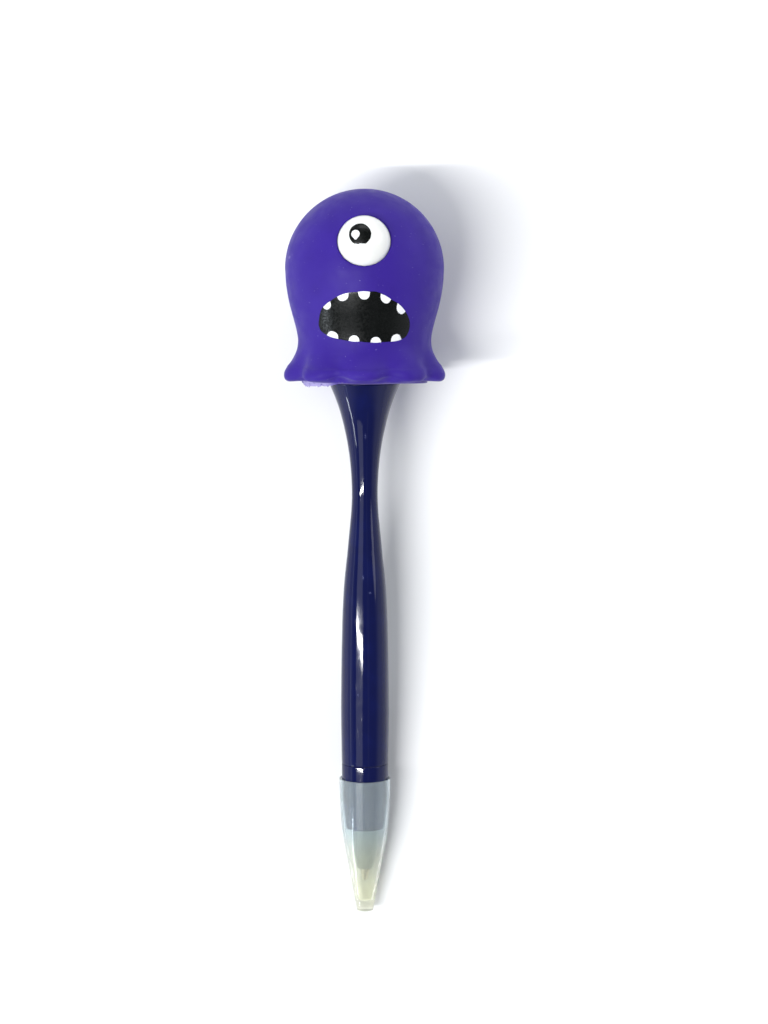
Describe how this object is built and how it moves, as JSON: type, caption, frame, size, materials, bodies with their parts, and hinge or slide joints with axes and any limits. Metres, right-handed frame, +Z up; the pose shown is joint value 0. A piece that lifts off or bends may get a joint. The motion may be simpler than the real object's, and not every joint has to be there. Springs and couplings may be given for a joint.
{
  "type": "capped ballpoint pen with squeezable head",
  "caption": "Capped ballpoint pen topped by a hollow one-eyed monster head in soft vinyl, whose eye pops out when the head is squeezed.",
  "frame": {"origin": "middle of the pen's box, on the surface it lies on", "axes": "+Y along the pen towards its head, +Z up and out of the face, +X to the right seen from above"},
  "size_m": [0.0384, 0.1733, 0.0436],
  "materials": {
    "skin": "satin soft vinyl",
    "plate": "satin soft vinyl",
    "eye": "gloss white with printed pupil",
    "barrel": "gloss navy",
    "nose": "gloss navy",
    "cone": "grey, slightly see-through",
    "cap": "milky, see-through",
    "tube": "clear, extruded",
    "ink": "blue writing paste",
    "point": "turned, nickel-brass",
    "ball": "ground"
  },
  "bodies": {
    "pen": {"barrel": "barrel", "head_skin": "skin", "head_plate": "plate", "nose_section": "nose", "tip_cone": "cone", "point_housing": "point", "refill_tube": "tube", "ink_column": "ink"},
    "eye": {"eyeball": "eye"},
    "cap": {"cap": "cap"},
    "ball": {"writing_ball": "ball"}
  },
  "joints": [
    {"name": "cap_pull", "type": "slide", "parent": "cap", "child": "pen", "axis": [0, 0.993, 0.1179], "range_m": [0, 0.04]},
    {"name": "eye_pop", "type": "slide", "parent": "pen", "child": "eye", "axis": [0, 0.2795, 0.9602], "range_m": [0, 0.005], "stiffness_N_per_m": 120},
    {"name": "ball_roll", "type": "hinge", "parent": "pen", "child": "ball", "pos_m": [0, -0.07881, 0.00406], "axis": [1, 0, 0], "continuous": true}
  ]
}
